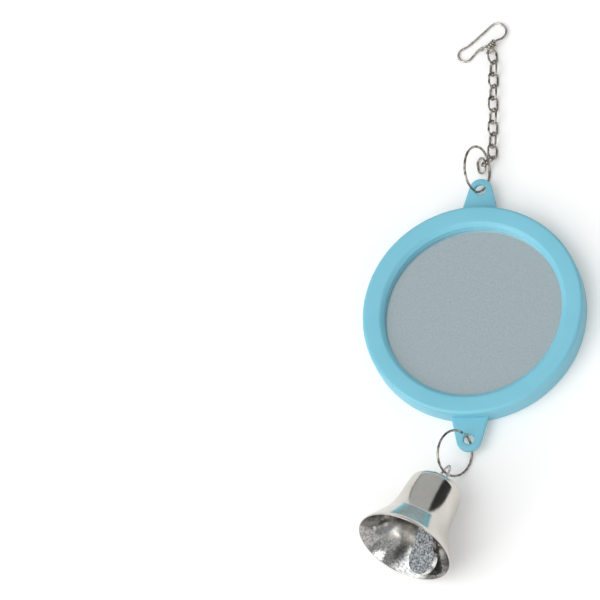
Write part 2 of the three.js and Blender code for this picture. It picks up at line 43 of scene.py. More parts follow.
# Sizes of the solids, in millimetres and degrees
FRAME_RADIUS, FRAME_HEIGHT = 25.0, 5.6
RIM_WIDTH, RIM_EDGE_ROUND, BACK_EDGE_ROUND = 4.8, 0.8, 0.6
LIP_SLOPE_WIDTH, LIP_SLOPE_DROP = 1.1, 0.45
RECESS_DEPTH, RECESS_DRAFT = 1.6, 0.15
MIRROR_THICKNESS = 1.2
TAB_THICKNESS, TAB_UNDERSIDE, TAB_REACH, TAB_EDGE, TAB_ROOT = 1.1, 1.9, 5.0, 0.3, 1.0
UPPER_TAB_BASE, UPPER_TAB_TIP_RADIUS = 8.6, 2.6
LOWER_TAB_BASE, LOWER_TAB_TIP_RADIUS = 8.8, 2.85
HOLE_DIAMETER = 2.4
RING_DIAMETER, RING_WIRE, RING_END_GAP, RING_END_OFFSET = 10.75, 0.6, 0.35, 0.4
RING_OPENING_FROM_HOLE = 27.0
UPPER_RING_SEAT, UPPER_RING_LEAN, UPPER_RING_HEADING = -0.35, 67.8, 7.0
LOWER_RING_SEAT, LOWER_RING_LEAN, LOWER_RING_HEADING = 0.25, 58.5, 18.5
LINK_LENGTH, LINK_WIDTH, LINK_WIRE, LINK_SEAM = 4.1, 2.8, 0.52, 0.12
LINK_PLAY, JOINING_PLAY, LINK_ROLL, STRAIGHT_LINKS = 0.15, 0.11, 45.0, 9
CHAIN_HEADING, FIRST_LINK_TURN = -1.95, -8.0
JOINING_LINK_ANGLE, JOINING_LINK_HEADING, SPARE_LINK_HEADING = 134.0, 52.0, -12.0
CLIP_WIRE, CLIP_SELF_GAP, CLIP_TURNS = 0.55, 0.46, 1.3
CLIP_EYE_DIAMETER, CLIP_EYE_HANG, CLIP_SHANK_TILT = 3.0, 40.0, 18.0
CLIP_LOBE_RADIUS, CLIP_LOBE_RIGHT, CLIP_LOBE_FORWARD = 2.15, 0.88, 2.36
CLIP_CATCH_RADIUS, CLIP_CATCH_LEFT, CLIP_CATCH_BACK = 1.6, 6.14, 2.93
BELL_LENGTH, BELL_MOUTH_RADIUS, BELL_WALL = 18.7, 11.15, 0.5
BELL_LIP_HEIGHT, BELL_LIP_TAPER, BELL_FLARE_HEIGHT, BELL_FLARE_TAPER = 0.9, 0.3, 6.1, 3.3
BELL_WAIST_DEPTH, BELL_WAIST_RADIUS = 7.0, 6.65
BELL_DOME_DEPTH, BELL_DOME_RADIUS, BELL_CROWN_RADIUS = 2.6, 6.3, 2.6
BELL_HEADING, CROWN_HOLE_DIAMETER = 20.2, 2.5
HANGER_WIRE, HANGER_RISE, HANGER_EYE_HEIGHT, HANGER_EYE_WIDTH = 0.7, 3.1, 5.35, 2.9
HANGER_LEG_SPACING, HANGER_BAR_DEPTH, HANGER_BAR_WIDTH = 1.16, 3.3, 3.5
HANGER_SEAM, HANGER_ANGLE_ON_RING = 0.15, 185.0
CLAPPER_SHEET, CLAPPER_FOLD_CLEARANCE, CLAPPER_NECK_WIDTH = 0.6, 0.2, 1.3
CLAPPER_LOBE_RADIUS, CLAPPER_DROP, CLAPPER_SIDE, CLAPPER_WALL_GAP = 3.5, 14.2, 24.0, 0.35
TABLE_CLEARANCE = 0.02

# Sizes that only the looks have, in millimetres and degrees: round wires stay inside the solids' facets
WIRE_FILL, WIRE_END_SHARE, WIRE_END_ROUND = 0.955, 0.82, 0.12
RING_WIRE_TRIM = 0.015
LIP_BEND_SHARE = 0.62
LIP_TURN, LIP_CORNER, LIP_EDGE = (0.03, 0.28), (0.08, 0.33), (0.082, 0.4)
MIRROR_SEAT_GAP, SILVER_DEPTH, SILVER_BORDER = 0.01, 0.25, 0.05
WINDING_HEADING, WINDING_PITCH, WINDING_TURNS, WINDING_END = 44.0, 1.04, 3.3, 165.0
WINDING_RIGHT, WINDING_FORWARD, SHANK_STRAIGHT = 0.25, 1.05, 0.25
BELL_EDGE_WALL, BELL_EDGE_INSET, BELL_EDGE_ROUND = 0.22, 0.03, 0.1
BELL_INSIDE_BEND = (8.6, -16.0)
LEAF_GAP, LEAF_PRESS_START, LEAF_PRESS_RUN = 0.02, 0.8, 3.2

# How finely the pieces are drawn
FRAME_SEGMENTS, MIRROR_SEGMENTS, HOLE_SEGMENTS, BELL_SEGMENTS = 192, 160, 48, 160
RING_STEPS, LOBE_STEPS, WINDING_STEPS, CLIP_SIDES = 120, 40, 120, 14


def vec(x, y, z):
    return np.array([x, y, z], float)


UP, AXIS_X, AXIS_Y, ZERO = vec(0, 0, 1), vec(1, 0, 0), vec(0, 1, 0), vec(0, 0, 0)


def unit(a):
    return a / np.linalg.norm(a)


def cosd(degrees):
    return math.cos(math.radians(degrees))


def sind(degrees):
    return math.sin(math.radians(degrees))


def heading_vector(degrees):
    return vec(sind(degrees), cosd(degrees), 0)


def arc(centre, u, w, radius, start, end, steps):
    angles = np.radians(np.linspace(start, end, steps + 1))
    return [centre + radius * (math.cos(a) * u + math.sin(a) * w) for a in angles]


def smooth_line(points, steps):
    """Evenly spaced points of a smooth bend through a few points."""
    given = [np.asarray(p, float) for p in points]
    ends = [2 * given[0] - given[1], *given, 2 * given[-1] - given[-2]]
    fine = []
    for p0, p1, p2, p3 in zip(ends, ends[1:], ends[2:], ends[3:]):
        d0, d1, d2 = (math.sqrt(np.linalg.norm(b - a)) for a, b in ((p0, p1), (p1, p2), (p2, p3)))
        t1 = d1 * ((p1 - p0) / d0 - (p2 - p0) / (d0 + d1) + (p2 - p1) / d1)
        t2 = d1 * ((p2 - p1) / d1 - (p3 - p1) / (d1 + d2) + (p3 - p2) / d2)
        for t in np.linspace(0, 1, 60, endpoint=False):
            fine.append(p1 + t1 * t + (3 * (p2 - p1) - 2 * t1 - t2) * t**2
                        + (2 * (p1 - p2) + t1 + t2) * t**3)
    fine = np.array([*fine, given[-1]])
    run = np.concatenate([[0], np.cumsum(np.linalg.norm(np.diff(fine, axis=0), axis=1))])
    wanted = np.linspace(0, run[-1], steps + 1)
    return [vec(*(np.interp(w, run, fine[:, k]) for k in range(3))) for w in wanted]


def new_object(name, verts, faces, matrix=None):
    data = bpy.data.meshes.new(name)
    data.from_pydata([tuple(np.asarray(p, float) * MM) for p in verts], [], faces)
    data.validate()
    if matrix is not None:
        data.transform(matrix)
    data.shade_smooth()
    obj = bpy.data.objects.new(name, data)
    bpy.context.scene.collection.objects.link(obj)
    return obj


def placing(origin, x, y):
    """Matrix of a piece built along x and y about an origin in millimetres."""
    x = unit(x)
    z = unit(np.cross(x, y))
    y = np.cross(z, x)
    turn = Matrix([[*row] for row in np.array([x, y, z]).T]).to_4x4()
    return Matrix.Translation(Vector(origin * MM)) @ turn


def wire(name, line, diameter, sides=16, matrix=None):
    """A round wire along a line, with slightly rounded cut ends."""
    line = np.array(line)
    tangents = np.gradient(line, axis=0)
    tangents /= np.linalg.norm(tangents, axis=1)[:, None]
    side = np.cross(tangents[0], UP if abs(tangents[0][2]) < 0.9 else AXIS_X)
    radius = WIRE_FILL * diameter / 2
    verts, faces = [], []
    rings = [(line[0], tangents[0], WIRE_END_SHARE, 0.0), (line[0], tangents[0], 1.0, WIRE_END_ROUND)]
    rings += [(p, t, 1.0, 0.0) for p, t in zip(line[1:-1], tangents[1:-1])]
    rings += [(line[-1], tangents[-1], 1.0, -WIRE_END_ROUND), (line[-1], tangents[-1], WIRE_END_SHARE, 0.0)]
    for centre, tangent, swell, shift in rings:
        side = unit(side - tangent * np.dot(side, tangent))
        other = np.cross(tangent, side)
        for k in range(sides):
            a = 2 * math.pi * k / sides
            spoke = math.cos(a) * side + math.sin(a) * other
            verts.append(centre + tangent * shift * diameter + spoke * radius * swell)
    for i in range(len(rings) - 1):
        for k in range(sides):
            a, b = i * sides + k, i * sides + (k + 1) % sides
            faces.append((a, b, b + sides, a + sides))
    faces.append(tuple(range(sides))[::-1])
    faces.append(tuple(range((len(rings) - 1) * sides, len(rings) * sides)))
    obj = new_object(name, verts, faces, matrix)
    for poly in obj.data.polygons[-2:]:
        poly.use_smooth = False
    return obj


def lathe(name, profile, segments, matrix=None):
    """A profile of radius and height turned about the z axis."""
    verts, faces, rows = [], [], []
    for r, z in profile:
        if r < 1e-6:
            rows.append([len(verts)] * segments)
            verts.append((0, 0, z))
            continue
        rows.append(list(range(len(verts), len(verts) + segments)))
        for k in range(segments):
            a = 2 * math.pi * k / segments
            verts.append((r * math.cos(a), r * math.sin(a), z))
    for low, high in zip(rows, rows[1:]):
        for k in range(segments):
            m = (k + 1) % segments
            corners = [low[k], low[m], high[m], high[k]]
            face = [c for i, c in enumerate(corners) if c not in corners[:i]]
            if len(face) > 2:
                faces.append(tuple(face))
    return new_object(name, verts, faces, matrix)


def joined_profile(*runs):
    points = []
    for run in runs:
        for p in run:
            if not points or math.hypot(p[0] - points[-1][0], p[1] - points[-1][1]) > 1e-6:
                points.append((float(p[0]), float(p[1])))
    return points


def round_corner(x, y, radius, start, end, steps=10):
    return [(x + radius * cosd(a), y + radius * sind(a)) for a in np.linspace(start, end, steps + 1)]


def straight_run(a, b, steps=8, close=0.12):
    """Points along a straight run, with one close to each end so that corners shade crisply."""
    a, b = np.array(a, float), np.array(b, float)
    reach = close / np.linalg.norm(b - a)
    return [tuple(a + (b - a) * t) for t in (0, *np.linspace(reach, 1 - reach, steps), 1)]


def quad_curve(a, b, c, steps):
    a, b, c = (np.array(p, float) for p in (a, b, c))
    shares = np.linspace(0, 1, steps + 1)
    return [tuple((1 - t) ** 2 * a + 2 * t * (1 - t) * b + t * t * c) for t in shares]


def combine(obj, tool, operation):
    change = obj.modifiers.new(operation.lower(), "BOOLEAN")
    change.operation = operation
    change.solver = "EXACT"
    change.object = tool
    depsgraph = bpy.context.evaluated_depsgraph_get()
    made = bpy.data.meshes.new_from_object(obj.evaluated_get(depsgraph))
    obj.modifiers.clear()
    old = obj.data
    obj.data = made
    bpy.data.meshes.remove(old)
    bpy.data.objects.remove(tool)


def smooth_by_angle(obj, degrees):
    obj.data.shade_smooth()
    obj.data.set_sharp_from_angle(angle=math.radians(degrees))


# Materials
class Nodes:
    """Short ways to write a material's nodes."""

    def __init__(self, name):
        self.material = bpy.data.materials.new(name)
        self.material.use_nodes = True
        self.tree = self.material.node_tree
        self.shader = self.tree.nodes["Principled BSDF"]
        self.coords = self.tree.nodes.new("ShaderNodeTexCoord").outputs["Object"]

    def add(self, kind, inputs=None, **settings):
        node = self.tree.nodes.new(kind)
        for key, value in settings.items():
            setattr(node, key, value)
        for key, value in (inputs or {}).items():
            if isinstance(value, bpy.types.NodeSocket):
                self.tree.links.new(value, node.inputs[key])
            else:
                node.inputs[key].default_value = value
        return node

    def scaled(self, x, y, z, turn=(0, 0, 0)):
        inputs = {"Vector": self.coords, "Scale": (x, y, z), "Rotation": turn}
        return self.add("ShaderNodeMapping", inputs).outputs["Vector"]

    def along(self, matrix, x, y, z):
        """Coordinates in a piece's own axes, with a scale for each axis."""
        inputs = {"Vector": self.coords, "Location": matrix.translation, "Rotation": matrix.to_euler(),
                  "Scale": (1 / x, 1 / y, 1 / z)}
        return self.add("ShaderNodeMapping", inputs, vector_type="TEXTURE").outputs["Vector"]

    def noise(self, scale, detail=3.0, rough=0.55, vector=None):
        inputs = {"Vector": vector or self.coords, "Scale": scale, "Detail": detail, "Roughness": rough}
        return self.add("ShaderNodeTexNoise", inputs).outputs["Fac"]

    def ramp(self, fac, *stops):
        node = self.add("ShaderNodeValToRGB", {"Fac": fac})
        elements = node.color_ramp.elements
        for i, (place, colour) in enumerate(stops):
            element = elements[i] if i < 2 else elements.new(place)
            element.position = place
            element.color = (*colour, 1.0)
        return node.outputs["Color"]

    def span(self, fac, low, high, from_low=0.0, from_high=1.0):
        inputs = {"Value": fac, "From Min": from_low, "From Max": from_high, "To Min": low, "To Max": high}
        return self.add("ShaderNodeMapRange", inputs).outputs["Result"]

    def math(self, operation, a, b=0.0):
        return self.add("ShaderNodeMath", {0: a, 1: b}, operation=operation).outputs[0]

    def mix(self, fac, a, b):
        node = self.add("ShaderNodeMix", data_type="RGBA")
        for socket, value in ((node.inputs[0], fac), (node.inputs[6], a), (node.inputs[7], b)):
            if isinstance(value, bpy.types.NodeSocket):
                self.tree.links.new(value, socket)
            else:
                socket.default_value = value
        return node.outputs[2]

    def bump(self, height, distance, strength=1.0, under=None):
        inputs = {"Height": height, "Distance": distance, "Strength": strength}
        if under is not None:
            inputs["Normal"] = under
        return self.add("ShaderNodeBump", inputs).outputs["Normal"]

    def finish(self, **sockets):
        for key, value in sockets.items():
            socket = self.shader.inputs[key.replace("_", " ")]
            if isinstance(value, bpy.types.NodeSocket):
                self.tree.links.new(value, socket)
            else:
                socket.default_value = value
        return self.material


def plastic_material():
    n = Nodes("turquoise_plastic")
    cloud = n.noise(90, 4)
    colour = n.ramp(cloud, (0.3, (0.198, 0.535, 0.66)), (0.7, (0.22, 0.565, 0.695)))
    specks = n.noise(2600, 2)
    colour = n.mix(n.span(specks, 0, 0.5, 0.62, 0.75), colour, (0.19, 0.53, 0.655, 1))
    grain = n.noise(3200, 2)
    swirl = n.noise(260, 3)
    normal = n.bump(grain, 0.000012, 0.5)
    normal = n.bump(swirl, 0.00006, 0.35, normal)
    return n.finish(Base_Color=colour, Roughness=n.span(n.noise(700, 3), 0.34, 0.46), Normal=normal)


def mirror_material():
    n = Nodes("mirror_glass")
    grain = n.noise(2200, 3, 0.6)
    rubs = n.noise(1, 2, 0.5, n.scaled(260, 4200, 260, (0, 0, 0.9)))
    tone = n.ramp(grain, (0.3, (0.548, 0.638, 0.664)), (0.7, (0.608, 0.697, 0.723)))
    tone = n.mix(n.span(rubs, 0, 0.5, 0.6, 0.75), tone, (0.531, 0.625, 0.646, 1))
    normal = n.bump(grain, 0.00001, 0.35)
    normal = n.bump(rubs, 0.000006, 0.25, normal)
    rough = n.span(n.noise(900, 3), 0.06, 0.12)
    return n.finish(Base_Color=tone, Metallic=0.8, Roughness=rough, Normal=normal)


def nickel_material(name, dark_tone, bright):
    n = Nodes(name)
    patches = n.noise(900, 4)
    colour = n.ramp(patches, (0.34, dark_tone), (0.62, bright))
    pits = n.noise(5200, 2)
    rough = n.span(n.noise(1600, 3), 0.16, 0.36)
    normal = n.bump(pits, 0.00002, 0.35)
    normal = n.bump(n.noise(1300, 3), 0.00004, 0.4, normal)
    return n.finish(Base_Color=colour, Metallic=1.0, Roughness=rough, Normal=normal)


def bell_material(matrix):
    n = Nodes("polished_bell")
    cloud = n.noise(260, 4)
    colour = n.ramp(cloud, (0.3, (0.61, 0.578, 0.535)), (0.7, (0.67, 0.638, 0.595)))
    turning = n.noise(1, 3, 0.5, n.along(matrix, 60, 60, 5200))
    sparkle = n.noise(3000, 2)
    normal = n.bump(n.noise(240, 2), 0.00009, 0.45)
    normal = n.bump(turning, 0.000006, 0.4, normal)
    normal = n.bump(sparkle, 0.00002, 0.5, normal)
    rough = n.span(n.noise(800, 3), 0.09, 0.18)
    return n.finish(Base_Color=colour, Metallic=1.0, Roughness=rough, Normal=normal)


def bell_inside_material(matrix):
    """Darker and specked near the mouth, lighter further in."""
    n = Nodes("bell_inside")
    depth = n.add("ShaderNodeSeparateXYZ", {0: n.along(matrix, 1, 1, 1)}).outputs["Z"]
    depth = n.math("ADD", depth, n.math("MULTIPLY", n.noise(300, 4, 0.6), 0.004))
    deep = n.span(depth, 0, 1, -0.0152, -0.0112)
    dark_tone = n.ramp(n.noise(420, 5, 0.65), (0.32, (0.33, 0.321, 0.308)), (0.68, (0.52, 0.508, 0.492)))
    light = n.ramp(n.noise(420, 5, 0.65), (0.32, (0.53, 0.512, 0.488)), (0.68, (0.82, 0.8, 0.775)))
    colour = n.mix(deep, dark_tone, light)
    speck = n.noise(1900, 3, 0.6)
    specks = n.span(speck, 0, 0.75, 0.48, 0.6)
    specks = n.math("MULTIPLY", specks, n.span(deep, 1.0, 0.25))
    colour = n.mix(specks, colour, (0.12, 0.119, 0.118, 1))
    normal = n.bump(n.noise(1900, 4, 0.65), 0.00003, 0.5)
    rough = n.span(n.noise(900, 4), 0.1, 0.2)
    return n.finish(Base_Color=colour, Metallic=1.0, Roughness=rough, Normal=normal)


def clapper_material():
    n = Nodes("raw_sheet")
    sand = n.noise(2100, 4, 0.7)
    colour = n.ramp(sand, (0.4, (0.07, 0.075, 0.082)), (0.62, (0.6, 0.62, 0.645)))
    normal = n.bump(sand, 0.00028, 0.9)
    return n.finish(Base_Color=colour, Metallic=0.9, Roughness=n.span(sand, 0.34, 0.6), Normal=normal)


PLASTIC, MIRROR, CLAPPER = plastic_material(), mirror_material(), clapper_material()
# The chain's and the rings' nickel is painted darker than the bare metal: painted dark reflections of the
# surroundings, in random patches
NICKEL = nickel_material("nickel_wire", (0.1, 0.088, 0.077), (0.5, 0.455, 0.41))
POLISHED_NICKEL = nickel_material("polished_wire", (0.62, 0.605, 0.585), (0.86, 0.845, 0.825))
# The clip's wire is painted darker than the bare metal too: painted dark reflections
BRIGHT_NICKEL = nickel_material("bright_wire", (0.24, 0.218, 0.197), (0.66, 0.618, 0.572))


def dress(obj, material, body, slot, *nodes):
    if material not in list(obj.data.materials):
        obj.data.materials.append(material)
    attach(obj, body)
    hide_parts(*nodes)
    return obj


# Frame: a round moulding with a recess and two tabs
lip_radius = FRAME_RADIUS - RIM_WIDTH
lip_height = FRAME_HEIGHT - LIP_SLOPE_DROP
mirror_top = lip_height - RECESS_DEPTH
mirror_bottom = mirror_top - MIRROR_THICKNESS
seat_radius = lip_radius - RECESS_DRAFT
tab_middle = TAB_UNDERSIDE + TAB_THICKNESS / 2


def make_tab(base, tip_radius, side):
    root = -(TAB_REACH + TAB_ROOT)
    spread = math.hypot(base / 2, root)
    tangent = math.degrees(math.atan2(root, base / 2) + math.acos(tip_radius / spread))
    rim = [(-base / 2, root), (base / 2, root)]
    rim += round_corner(0, 0, tip_radius, tangent, 180 - tangent, 40)
    levels = [(0.0, TAB_EDGE), (0.3 * TAB_EDGE, 0.3 * TAB_EDGE), (TAB_EDGE, 0.0)]
    levels += [(TAB_THICKNESS - h, inset) for h, inset in reversed(levels)]
    count = len(rim)
    verts, faces = [], []
    for height, inset in levels:
        for i, (x, y) in enumerate(rim):
            before, after = np.array(rim[i - 1]), np.array(rim[(i + 1) % count])
            along_in, along_out = unit(np.array((x, y)) - before), unit(after - np.array((x, y)))
            inward = unit(np.array((-along_in[1] - along_out[1], along_in[0] + along_out[0])))
            stretch = inset / max(0.5, inward @ np.array((-along_in[1], along_in[0])))
            px, py = x + inward[0] * stretch, y + inward[1] * stretch
            verts.append((side * px, side * (py + FRAME_RADIUS + TAB_REACH), TAB_UNDERSIDE + height))
    for level in range(len(levels) - 1):
        for i in range(count):
            a, b = level * count + i, level * count + (i + 1) % count
            faces.append((a, b, b + count, a + count))
    faces.append(tuple(range(count))[::-1])
    faces.append(tuple(range((len(levels) - 1) * count, len(levels) * count)))
    return new_object("tab", verts, faces)


def make_hole(side):
    radius, half = HOLE_DIAMETER / 2, TAB_THICKNESS / 2
    flare = radius + 2 * TAB_EDGE
    profile = joined_profile(
        [(0, -half - TAB_EDGE), (flare, -half - TAB_EDGE)],
        quad_curve((flare, -half - TAB_EDGE), (radius, -half + 0.4 * TAB_EDGE),
                   (radius, -half + TAB_EDGE), 4),
        quad_curve((radius, half - TAB_EDGE), (radius, half - 0.4 * TAB_EDGE),
                   (flare, half + TAB_EDGE), 4),
        [(0, half + TAB_EDGE)],
    )
    centre = vec(0, side * (FRAME_RADIUS + TAB_REACH), tab_middle)
    tool = lathe("hole", profile, HOLE_SEGMENTS)
    tool.data.transform(Matrix.Translation(Vector(centre * MM)))
    return tool


def make_frame():
    back, edge = BACK_EDGE_ROUND, RIM_EDGE_ROUND
    turn, corner, lip = ((lip_radius - inset, lip_height - drop)
                         for inset, drop in (LIP_TURN, LIP_CORNER, LIP_EDGE))
    profile = joined_profile(
        [(0, 0)],
        round_corner(FRAME_RADIUS - back, back, back, -90, 0, 6),
        round_corner(FRAME_RADIUS - edge, FRAME_HEIGHT - edge, edge, 0, 90, 12),
        quad_curve((lip_radius + LIP_SLOPE_WIDTH, FRAME_HEIGHT),
                   (lip_radius + LIP_BEND_SHARE * LIP_SLOPE_WIDTH, FRAME_HEIGHT), turn, 12),
        quad_curve(turn, corner, lip, 4),
        straight_run(lip, (seat_radius, mirror_top), 3, 0.06),
        [(seat_radius, mirror_bottom), (0, mirror_bottom)],
    )
    obj = lathe("frame_moulding", profile, FRAME_SEGMENTS)
    tabs = ((UPPER_TAB_BASE, UPPER_TAB_TIP_RADIUS, 1), (LOWER_TAB_BASE, LOWER_TAB_TIP_RADIUS, -1))
    for base, tip, side in tabs:
        combine(obj, make_tab(base, tip, side), "UNION")
        combine(obj, make_hole(side), "DIFFERENCE")
    smooth_by_angle(obj, 32)
    return dress(obj, PLASTIC, "frame", "turquoise_plastic", "mirror_frame")


def make_mirror():
    # The plate fills its seat, and what shows of it is the silver just under its face
    radius, silver = seat_radius - MIRROR_SEAT_GAP, mirror_top - SILVER_DEPTH
    profile = [(0, mirror_bottom), (radius, mirror_bottom), (radius, silver),
               (radius - SILVER_BORDER, silver), (0, silver)]
    obj = lathe("mirror_plate", profile, MIRROR_SEGMENTS)
    smooth_by_angle(obj, 30)
    return dress(obj, MIRROR, "frame", "mirror_glass", "mirror_disc")


# Jump rings
ring_radius = (RING_DIAMETER - RING_WIRE) / 2


def ring_pose(side, seat, lean, heading):
    towards = heading_vector(heading) * -side
    outward = np.cross(UP, towards) * side
    downhill = outward * cosd(lean) - UP * sind(lean)
    rise = tab_middle - RING_WIRE / 2 - TABLE_CLEARANCE
    angle = math.asin(1 - rise / (ring_radius * sind(lean)))
    hole = vec(0, side * (FRAME_RADIUS + TAB_REACH + seat), tab_middle)
    centre = hole - towards * ring_radius * math.cos(angle) - downhill * ring_radius * math.sin(angle)
    return {"towards": towards, "downhill": downhill, "angle": math.degrees(angle), "centre": centre}


def ring_point(pose, degrees):
    u, w = pose["towards"], pose["downhill"]
    point = arc(pose["centre"], u, w, ring_radius, degrees, degrees, 1)[0]
    return point, arc(ZERO, u, w, 1, degrees + 90, degrees + 90, 1)[0]


def make_ring(name, pose, body, node):
    opening = pose["angle"] - RING_OPENING_FROM_HOLE
    half_gap = math.degrees(RING_END_GAP / 2 / ring_radius)
    line = arc(ZERO, AXIS_X, AXIS_Y, ring_radius, opening + half_gap, opening + 360 - half_gap, RING_STEPS)
    for i, point in enumerate(line):
        point[2] = RING_END_OFFSET * (i / RING_STEPS - 0.5)
    matrix = placing(pose["centre"], pose["towards"], pose["downhill"])
    obj = wire(name, line, RING_WIRE - RING_WIRE_TRIM, 18, matrix)
    return dress(obj, NICKEL, body, "nickel_wire", node)


upper_pose = ring_pose(1, UPPER_RING_SEAT, UPPER_RING_LEAN, UPPER_RING_HEADING)
lower_pose = ring_pose(-1, LOWER_RING_SEAT, LOWER_RING_LEAN, LOWER_RING_HEADING)

# Chain
link_bend = (LINK_WIDTH - LINK_WIRE) / 2
link_end = (LINK_LENGTH - LINK_WIRE) / 2
link_nest = LINK_WIRE + LINK_PLAY


def make_link(number, centre, length, width):
    straight = link_end - link_bend
    line = [vec(LINK_SEAM / 2, -link_bend, 0)]
    line += arc(vec(straight, 0, 0), AXIS_X, AXIS_Y, link_bend, -90, 90, 28)
    line += arc(vec(-straight, 0, 0), AXIS_X, AXIS_Y, link_bend, 90, 270, 28)
    line += [vec(-LINK_SEAM / 2, -link_bend, 0)]
    obj = wire(f"link_{number:02d}_wire", line, LINK_WIRE, 14, placing(centre, length, width))
    return dress(obj, NICKEL, f"link_{number:02d}", "nickel_wire", f"chain_link_{number:02d}")


def make_chain():
    lie_height = link_bend * sind(LINK_ROLL) + LINK_WIRE / 2 + TABLE_CLEARANCE
    point, tangent = ring_point(upper_pose, JOINING_LINK_ANGLE)
    reach = link_end - link_nest - JOINING_PLAY
    length = heading_vector(JOINING_LINK_HEADING)
    width = unit(np.cross(tangent, length))
    make_link(STRAIGHT_LINKS + 1, point, length, width)
    spare_side = point - length * reach
    lean_angle = math.asin((spare_side[2] - LINK_WIRE / 2 - TABLE_CLEARANCE) / (2 * link_bend))
    spare_length = heading_vector(SPARE_LINK_HEADING)
    lean = vec(-spare_length[1], spare_length[0], 0) * math.cos(lean_angle)
    lean[2] = -math.sin(lean_angle)
    make_link(STRAIGHT_LINKS + 2, spare_side + lean * link_bend, spare_length, lean)
    end, before = point + length * (reach + link_nest), length
    for number in range(STRAIGHT_LINKS, 0, -1):
        heading = heading_vector(CHAIN_HEADING + (FIRST_LINK_TURN if number == 1 else 0))
        level = vec(heading[1], -heading[0], 0)
        near = end - before * link_nest
        settle = math.asin((lie_height - near[2]) / (2 * link_end - link_nest))
        heading = heading * math.cos(settle)
        heading[2] = math.sin(settle)
        roll = LINK_ROLL if number % 2 else -LINK_ROLL
        across = level * cosd(roll) - np.cross(level, heading) * sind(roll)
        make_link(number, near + heading * link_end, heading, across)
        end, before = near + heading * 2 * link_end, heading
    return end, before


# Clip
def make_clip(chain_end, chain_heading):
    eye_radius = (CLIP_EYE_DIAMETER - CLIP_WIRE) / 2
    wind_radius = CLIP_WIRE + CLIP_SELF_GAP
    flat = CLIP_WIRE / 2 + TABLE_CLEARANCE
    hang = chain_end - chain_heading * ((LINK_WIRE + CLIP_WIRE) / 2 + LINK_PLAY)
    eye = hang + vec(-eye_radius * cosd(CLIP_EYE_HANG), 0, eye_radius * sind(CLIP_EYE_HANG))
    reach = CLIP_WIRE + LINK_WIRE + CLIP_SELF_GAP + CLIP_TURNS * wind_radius
    end = vec(eye[0], eye[1], flat) + heading_vector(CLIP_SHANK_TILT) * reach
    lobe_centre = end + vec(CLIP_LOBE_RIGHT, CLIP_LOBE_FORWARD, 0)
    catch_centre = end + vec(-CLIP_CATCH_LEFT, -CLIP_CATCH_BACK, 0)

    # The turns lie close together round the shank, as bent wire does
    shank = heading_vector(WINDING_HEADING)
    across = vec(shank[1], -shank[0], 0)
    height = wind_radius + 0.5 * flat
    start = vec(eye[0] + WINDING_RIGHT, eye[1] + WINDING_FORWARD, height)

    def at(forward, sideways, z):
        point = start + shank * forward + across * sideways
        return vec(point[0], point[1], z)

    tight = CLIP_WIRE * WINDING_PITCH
    winding = []
    for i in range(WINDING_STEPS + 1):
        left = WINDING_TURNS * (1 - i / WINDING_STEPS)
        a = WINDING_END - 360 * left
        winding.append(at(tight * left, tight * cosd(a), height + tight * sind(a)))
    span = lobe_centre - catch_centre
    slope = math.degrees(math.atan2(span[1], span[0]))
    spread = math.degrees(math.acos((CLIP_LOBE_RADIUS - CLIP_CATCH_RADIUS) / np.linalg.norm(span)))
    catch_lobe = arc(catch_centre, AXIS_X, AXIS_Y, CLIP_CATCH_RADIUS, -42, slope + spread - 374, LOBE_STEPS)
    lobe = arc(lobe_centre, AXIS_X, AXIS_Y, CLIP_LOBE_RADIUS - 0.02, slope + spread, -55, LOBE_STEPS)
    for i, point in enumerate(lobe):
        point[2] = flat + (height - flat) * max(0, i / LOBE_STEPS - 0.4)
    neck = arc(catch_centre, AXIS_X, AXIS_Y, 1.26 * CLIP_CATCH_RADIUS, 79, 79, 1)[0]
    lower_arm = smooth_line([winding[-1], eye + vec(-1.15, 1.12, -0.75), eye + vec(-2.3, 0.72, -1.4),
                             catch_lobe[0], catch_lobe[2]], 60)
    upper_arm = smooth_line([catch_lobe[-2], catch_lobe[-1], neck, lobe[0], lobe[1]], 40)
    shank_run = smooth_line([
        lobe[-2],
        lobe[-1],
        at(tight * WINDING_TURNS + SHANK_STRAIGHT, 0, height),
        at(0, 0, height),
        eye + vec(-0.55 * eye_radius, 0.75, -0.35 * eye_radius),
        eye + vec(-0.9 * eye_radius, 0.3, -0.2 * eye_radius),
        eye + vec(-eye_radius, 0, 0),
    ], 80)
    eye_turn = arc(eye, AXIS_X, UP, eye_radius, 180, -112, 60)
    line = winding + lower_arm[1:-4] + catch_lobe + upper_arm[4:-3] + lobe + shank_run[3:-1] + eye_turn
    obj = wire("clip_wire", line, CLIP_WIRE, CLIP_SIDES)
    obj.data.materials.append(BRIGHT_NICKEL)
    obj.data.materials.append(NICKEL)
    # The tight turns take the darker chain nickel: painted shade between the turns
    for poly in obj.data.polygons[:len(winding) * CLIP_SIDES]:
        poly.material_index = 1
    return dress(obj, BRIGHT_NICKEL, "clip", "nickel_wire", "spring_clip")


# Bell, its hanger and the clapper
def bell_outline(steps):
    mouth = -BELL_LENGTH
    lip, flare = BELL_MOUTH_RADIUS - BELL_LIP_TAPER, BELL_MOUTH_RADIUS - BELL_FLARE_TAPER
    crease, waist = mouth + BELL_FLARE_HEIGHT, -BELL_WAIST_DEPTH
    return joined_profile(
        [(BELL_MOUTH_RADIUS, mouth), (lip, mouth + BELL_LIP_HEIGHT)],
        straight_run((lip, mouth + BELL_LIP_HEIGHT), (flare, crease)),
        quad_curve((flare, crease),
                   (BELL_WAIST_RADIUS + 0.16 * (flare - BELL_WAIST_RADIUS), (crease + waist) / 2),
                   (BELL_WAIST_RADIUS, waist), steps),
        quad_curve((BELL_WAIST_RADIUS, waist), (BELL_DOME_RADIUS + 0.1, -BELL_DOME_DEPTH - 0.8),
                   (BELL_DOME_RADIUS, -BELL_DOME_DEPTH), steps),
        quad_curve((BELL_DOME_RADIUS, -BELL_DOME_DEPTH), (BELL_DOME_RADIUS - 0.45, 0),
                   (BELL_CROWN_RADIUS, 0), steps),
        [(CROWN_HOLE_DIAMETER / 2, 0)],
    )


